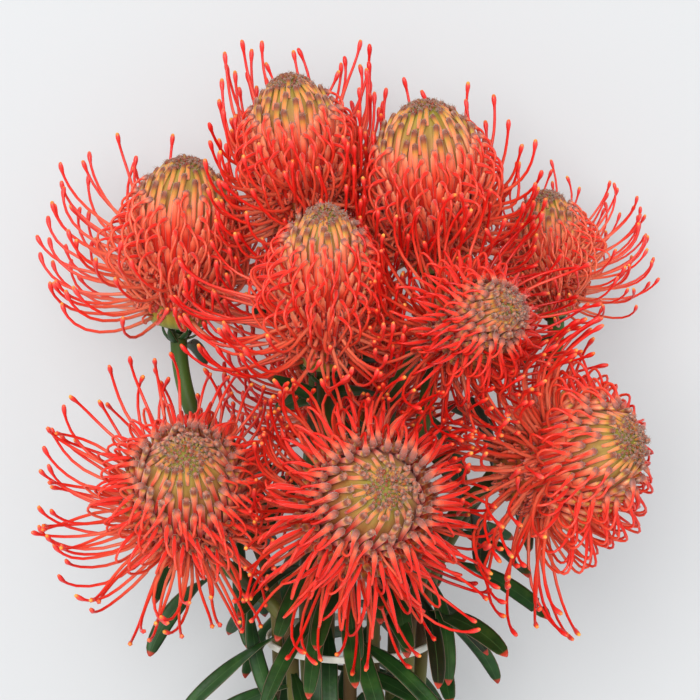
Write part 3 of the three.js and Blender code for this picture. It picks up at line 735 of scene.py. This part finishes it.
def curlSets(index):
    # opened tubes: ribbons whose heading turns back ever faster, as the square of the length
    first = florets["firstFree"] - curls["before"]
    numbers = np.repeat(np.arange(first, florets["end"]), curls["perFloret"])
    copy = np.arange(len(numbers))
    rank = (numbers - first) / (florets["end"] - first)
    share = mix(curls["top"], curls["bottom"], rank) + vary(index, copy, 21, curls["shareScatter"])
    turn = numbers * goldenTurn + vary(index, copy, 22, curls["turnScatter"])
    middles = (np.arange(curls["steps"]) + 0.5) / curls["steps"]
    length = curls["length"] * mix(*curls["lengthScatter"], draw(index, copy, 23))
    back = curls["turns"] * 2 * math.pi * mix(*curls["turnsScatter"], draw(index, copy, 24))
    leaving = mix(*curls["heading"], draw(index, copy, 25)) * degree
    out, rise = walked(spread(leaving) - spread(back) * middles ** 2, length)
    s = np.linspace(0, 1, curls["steps"] + 1)
    drift = spread(vary(index, copy, 26, curls["drift"])) * s
    flank = spread(coreRadius(index, share) - curls["rootDepth"])
    local = headPoints(spread(turn) + drift, flank + out, spread(head["length"] * share) + rise)
    paths = inBunch(index, local, 1)
    width = curls["width"] * mix(1.0, curls["taper"], s) * blooms[index]["size"]
    return [strandSet(paths, width, width * curls["flatness"], sidesOf(index, turn), roundSection(3),
                      mix(*shades["curl"], s), draw(index, copy, 27))]


def floretSets(index):
    return strandSets(index) + sheathSets(index) + crownSets(index) + curlSets(index)


def coreSet(index):
    # A surface of revolution. Its ridges fade at foot and apex, and its rings stand closer to the apex.
    flower = blooms[index]
    top = 1 - 0.1 * (1 - np.linspace(0.12, 0.995, 9)) ** 2
    share = np.concatenate([[0.0], np.linspace(0.02, 0.9, 26), top])
    around, ridges, ridgeHeight = 72, 24, 0.012
    angle = np.arange(around) * 2 * math.pi / around
    fade = smooth(0.05, 0.2, share) * (1 - 0.9 * smooth(0.7, 0.9, share))
    ridge = 1 + ridgeHeight * np.sin(angle * ridges)[None, :] * fade[:, None]
    radius = np.maximum(coreRadius(index, share) - head["skin"] * smooth(0, 0.1, share), 0.05)
    radius = radius[:, None] * ridge * flower["size"]
    paths = placed(index, headPoints(0 * share, 0, head["length"] * share)[None])
    side = flower["turned"][:, 0][None]
    tone = 0.5 + 0.5 * np.sin(angle * ridges)[None, None, :]
    return strandSet(paths, radius[None], radius[None], side, roundSection(around), share, tone)


for index in range(len(blooms)):
    label = f"{index + 1:02d}"
    for kind, sets, material in (("styles", styleSets(index), styleTissue),
                                 ("florets", floretSets(index), floretTissue),
                                 ("head", [coreSet(index)], coreTissue)):
        piece = makePiece(f"{kind}_{label}", sets, material)
        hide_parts(f"bloom_{label}")
tell("blooms made")


# Stems and leaves. The stems lie level at their cut ends and rise along the lean to the band.
stem = dict(radius=2.9, topRadius=3.8, sides=6, seatGap=0.3, levelPull=70, leanPull=60, topPull=0.4,
            steps=(40, 44))
cutEnds = dict(y=-345, stagger=2.5, spacing=6.4, rowHeight=5.55, levelRun=25)
band = dict(halfWidth=36.8, halfDepth=27.4, wall=1.3, height=3.2, slack=0.8)
bandTilt = 15 * degree
lean = np.array([0, math.cos(bandTilt), math.sin(bandTilt)])
front = np.array([0, -math.sin(bandTilt), math.cos(bandTilt)])
level = np.array([0.0, 1.0, 0.0])
across = np.array([1.0, 0.0, 0.0])
leaf = dict(perStem=15, length=58, youngLength=0.62, lengthScatter=(0.85, 1.1), width=7.8, youngWidth=0.8,
            widthScatter=(0.9, 1.1), thickness=0.8, grownAt=30, belowBand=56, start=9, crowding=0.68,
            open=(38, 95), wider=(20, 55), droop=40, foot=0.36, widening=0.32, widest=0.55, closing=0.452,
            blunt=3.4)
leafRoom = dict(leaf=3.6, stem=4.6, head=27, band=4, bandRoots=9, table=1.6, spread=94, attempts=36,
                turn=0.7, opening=15, openings=3, stations=17, root=3, coarse=(70, 50), fine=(400, 300),
                ring=72)


def bezier(corners, steps):
    # the cubic curve of four corners at even steps
    t = (np.arange(steps + 1) / steps)[:, None]
    a, b, c, d = corners
    return (1 - t) ** 3 * a + 3 * (1 - t) ** 2 * t * b + 3 * (1 - t) * t ** 2 * c + t ** 3 * d


def stemLine(index):
    flower = blooms[index]
    reach = stem["radius"] + band["wall"] + band["slack"]
    flat = stem["radius"] * math.cos(math.pi / stem["sides"])
    start = np.array([flower["cut"][0] * cutEnds["spacing"],
                      cutEnds["y"] + cutEnds["stagger"] * draw(index, 0, 9),
                      flat + flower["cut"][1] * cutEnds["rowHeight"]])
    foot = start + level * cutEnds["levelRun"]
    held = (bandCentre + across * flower["band"][0] * (band["halfWidth"] - reach)
            + front * flower["band"][1] * (band["halfDepth"] - reach))
    top = flower["seat"] - flower["axis"] * stem["seatGap"]
    bend = stem["topPull"] * np.linalg.norm(top - held)
    return dict(start=start,
                below=(foot, foot + level * stem["levelPull"], held - lean * stem["leanPull"], held),
                above=(held, held + lean * bend, top - flower["axis"] * bend, top))


def stemPoints(line, stepsBelow, stepsAbove):
    above = bezier(line["above"], stepsAbove)[1:]
    return np.concatenate([line["start"][None], bezier(line["below"], stepsBelow), above])


lines = [stemLine(index) for index in range(len(blooms))]


def midrib(root, up, turn, opening, length, stations):
    # an arc in the plane of the stem and the side it grows on, opening from one angle to the other
    right = unit(across - up * up[0])
    away = right * math.cos(turn) + np.cross(up, right) * math.sin(turn)
    first, last = opening
    angle = mix(first, last, np.linspace(0, 1, stations))
    climb = (np.sin(angle) - math.sin(first)) / (last - first)
    reach = (math.cos(first) - np.cos(angle)) / (last - first)
    points = root + (climb[:, None] * up + reach[:, None] * away) * length
    return points, np.cross(up, away)


def farFrom(points, others, room):
    return np.all(np.linalg.norm(points[:, None] - others[None], axis=-1) > room)


def offHeads(points):
    return all(farFrom(points, nearestOnLine(points, flower["low"], flower["high"]),
                       leafRoom["head"] * flower["size"]) for flower in blooms)


def placeLeaves():
    # By the golden angle; a leaf with no room turns on, opens less or more, or is left out.
    grown = []
    stemTests = [stemPoints(line, *leafRoom["coarse"]) for line in lines]
    turn = np.arange(leafRoom["ring"]) / leafRoom["ring"] * 2 * math.pi
    ring = (bandCentre + across * band["halfWidth"] * np.cos(turn)[:, None]
            + front * band["halfDepth"] * np.sin(turn)[:, None])
    for index in range(len(blooms)):
        fine = stemPoints(lines[index], *leafRoom["fine"])[::-1]
        run = np.concatenate([[0], np.cumsum(np.linalg.norm(np.diff(fine, axis=0), axis=1))])
        held = np.linalg.norm(np.diff(bezier(lines[index]["above"], 200), axis=0), axis=1).sum()
        reach = held + leaf["belowBand"] - leaf["start"]
        otherStems = np.concatenate(stemTests[:index] + stemTests[index + 1:])
        otherLeaves = np.concatenate([np.zeros((0, 3))] + [one["points"] for one in grown])
        for n in range(leaf["perStem"]):
            distance = leaf["start"] + reach * (n / (leaf["perStem"] - 1)) ** leaf["crowding"]
            if abs(distance - held) < leafRoom["bandRoots"]:
                distance = held - leafRoom["bandRoots"]
            after = int(np.searchsorted(run, distance))
            up = unit(fine[after - 1] - fine[after])
            point = fine[after] + up * (run[after] - distance)
            full = min(distance / leaf["grownAt"], 1)
            length = leaf["length"] * mix(leaf["youngLength"], 1, full)
            length = length * mix(*leaf["lengthScatter"], draw(index, n, 5))
            width = leaf["width"] * mix(leaf["youngWidth"], 1, full)
            width = width * mix(*leaf["widthScatter"], draw(index, n, 6))
            for attempt in range(leafRoom["attempts"]):
                angle = n * goldenTurn + index + attempt * leafRoom["turn"]
                droop = leaf["droop"] * min(distance / held, 1)
                wider = (attempt % leafRoom["openings"]) * leafRoom["opening"]
                start = (mix(*leaf["open"], draw(index, n, 7)) + droop + wider) * degree
                opening = (start, start + mix(*leaf["wider"], draw(index, n, 8)) * degree)
                arc = (point, up, angle, opening, length)
                rib, side = midrib(*arc, leafRoom["stations"])
                rib = rib[leafRoom["root"]:]
                points = np.concatenate([rib, rib + side * width / 2, rib - side * width / 2])
                fits = (points[:, 2].min() > leafRoom["table"]
                        and np.abs(points[:, 0]).max() < leafRoom["spread"]
                        and farFrom(points, ring, leafRoom["band"])
                        and offHeads(points)
                        and farFrom(points, otherStems, leafRoom["stem"])
                        and farFrom(points, otherLeaves, leafRoom["leaf"]))
                if fits:
                    grown.append(dict(stem=index, number=n, arc=arc, width=width, points=points))
                    break
    return grown


leaves = placeLeaves()
tell("leaves placed", len(leaves))

bracts = dict(count=14, length=11, lengthScatter=(0.7, 1.2), width=4.2, thickness=0.7, tilt=(20, 75),
              tiltScatter=0.5, foot=(-7, 0), sunk=0.5, stations=(0, 0.25, 0.5, 0.75, 0.92, 1),
              wedge=(0.9, 1, 0.9, 0.62, 0.3, 0.1))

# a leaf's section, over the top and back under it: place across, lift with width, thickness
leafAcross = np.array([1, 0.72, 0.35, 0, -0.35, -0.72, -1, -0.72, -0.35, 0, 0.35, 0.72])
leafSection = (leafAcross, 0.16 * leafAcross ** 2,
               np.array([0, 0.42, 0.5, 0.34, 0.5, 0.42, 0, -0.42, -0.5, -0.66, -0.5, -0.42]))
acrossLeaf = np.abs(leafAcross)[None, None]


def leafSets(index):
    # a leaf widens from its foot by an S curve and closes at its tip by a blunt power curve
    stations = np.concatenate([np.linspace(0, 0.9, 15), [0.935, 0.965, 0.985, 1.0]])
    closing = np.clip((stations - leaf["widest"]) / leaf["closing"], 0, 1) ** leaf["blunt"]
    outline = mix(leaf["foot"], 1, smooth(0, leaf["widening"], stations)) * np.sqrt(1 - closing)
    sets = []
    for one in leaves:
        if one["stem"] != index:
            continue
        fine, side = midrib(*one["arc"], 101)
        paths = fine[np.round(stations * 100).astype(int)][None]
        tangent = unit(np.gradient(paths, axis=1))
        levelSide = unit(np.cross(tangent, [0.0, 0.0, 1.0]))
        levelSide = levelSide * np.sign(np.sum(levelSide * -side, axis=2, keepdims=True))
        facing = mix(0.35, 0.85, draw(index, one["number"], 31)) * smooth(0, 0.7, stations)[None, :, None]
        sideways = unit(mix(-side, levelSide, facing))
        width = one["width"] / 2 * outline
        depth = leaf["thickness"] * mix(1, 0.7, stations)
        tone = draw(index, one["number"], 32)
        sets.append(strandSet(paths, width, depth, sideways, leafSection, stations, tone, across=acrossLeaf))

    # bracts clasp the foot of the head in two turns, each an arc that leans out and then up
    number = np.arange(bracts["count"])
    turn = number * goldenTurn
    s = np.array(bracts["stations"])
    tilt = mix(*bracts["tilt"], s)[None] * degree + spread(vary(index, number, 41, bracts["tiltScatter"]))
    scatter = mix(*bracts["lengthScatter"], spread(draw(index, number, 42)))
    step = np.diff(s, prepend=0) * bracts["length"] * scatter
    radius = stem["topRadius"] - bracts["sunk"] + np.cumsum(np.cos(tilt) * step, axis=1)
    foot = spread(mix(*bracts["foot"], draw(index, number, 43)))
    paths = placed(index, headPoints(spread(turn), radius, foot + np.cumsum(np.sin(tilt) * step, axis=1)))
    width = bracts["width"] / 2 * np.array(bracts["wedge"])
    tone = mix(0.2, 1, draw(index, number, 44))
    sets.append(strandSet(paths, width, bracts["thickness"], -sidesOf(index, turn), leafSection,
                          mix(0.1, 0.965, s), tone, across=acrossLeaf))
    return sets


def stemSet(index):
    # a bar along the stem line, whose radius grows evenly from the band to the head
    below, above = stem["steps"]
    points = stemPoints(lines[index], below, above)[None]
    share = np.concatenate([[0], np.linspace(0, 0.5, below + 1), np.linspace(0.5, 1, above + 1)[1:]])
    radius = mix(stem["radius"], stem["topRadius"], np.clip(share * 2 - 1, 0, 1))
    tone = 0.5 + 0.5 * np.sin(np.arange(len(share)) * 0.37 + index * 2)[None, :, None]
    return strandSet(points, radius, radius, across[None], roundSection(14), share, tone)


for index in range(len(blooms)):
    label = f"{index + 1:02d}"
    for kind, sets, material in (("stem", [stemSet(index)], stemTissue),
                                 ("leaves", leafSets(index), leafSkin)):
        if sets:
            piece = makePiece(f"{kind}_{label}", sets, material)
            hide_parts(f"leafy_stem_{label}")


def rubberBand():
    # a rounded strip carried round an ellipse square to the lean
    stations, points = 144, 12
    turn = np.arange(stations) / stations * 2 * math.pi
    half = band["wall"] / 2
    centre = (bandCentre + across * (band["halfWidth"] - half) * np.cos(turn)[:, None]
              + front * (band["halfDepth"] - half) * np.sin(turn)[:, None])[None]
    x, flat, thick = roundSection(points)
    section = (np.sign(x) * np.abs(x) ** 0.5, flat, np.sign(thick) * np.abs(thick) ** 0.6)
    rings, faces = carried(centre, band["height"] / 2, half, lean[None], section, closed=True)
    return rings, faces, {"shade": np.zeros((1, 1, 1))}


piece = makePiece("band_round_stems", [rubberBand()], bandRubber)
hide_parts("rubber_band")
tell("stems, leaves and band made")


# The table, the camera and the light
view = dict(planeHeight=100, distance=1200, field=300, sensor=36)


def paleTable():
    mesh = bpy.data.meshes.new("table")
    reach = 3.0
    corners = [(-reach, -reach, 0), (reach, -reach, 0), (reach, reach, 0), (-reach, reach, 0)]
    mesh.from_pydata(corners, [], [(0, 1, 2, 3)])
    material = startMaterial("matt white table with a faint painted glow")[0]
    # The emission is painted light: the table glows faintly, though nothing lights it, so the bunch's
    # shadows on it stay faint. Its base colour is darker so its open parts stay as bright.
    settings = {"Base Color": colour("#ABACAD"), "Roughness": 0.9, "Emission Color": colour("#FCFEFF"),
                "Emission Strength": 0.27}
    mesh.materials.append(finished(material, settings))
    table = linked("table", mesh)


paleTable()
world = bpy.data.worlds.new("studio")
scene.world = world
world.use_nodes = True
sky = world.node_tree.nodes["Background"].inputs
sky["Color"].default_value = colour("#F2F6FA")
sky["Strength"].default_value = 0.9
light = bpy.data.lights.new("key softbox", "AREA")
light.size = 1.2
light.energy = 26
light.color = colour("#FFFDFA")[:3]
lamp = linked("key softbox", light)
lamp.location = (-0.28, 0.4, 1.95)
towards = Vector((0, 0, 0.08)) - lamp.location
lamp.rotation_mode = "QUATERNION"
lamp.rotation_quaternion = towards.to_track_quat("-Z", "Y")

camera = bpy.data.cameras.new("camera")
camera.sensor_width = view["sensor"]
camera.lens = view["sensor"] * view["distance"] / view["field"]
camera.clip_start = 0.05
eye = linked("camera", camera)
eye.location = (np.array([0, 0, view["planeHeight"] + view["distance"]]) + shift) * 0.001
scene.camera = eye
shown = scene.view_settings
shown.view_transform = "Standard"
shown.look = "None"
shown.gamma = 0.9
shown.exposure = 0.08

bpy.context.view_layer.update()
total, largest = sum(triangles.values()), max(triangles.values())
tell("triangles", total, "largest piece", largest, "scene ready")
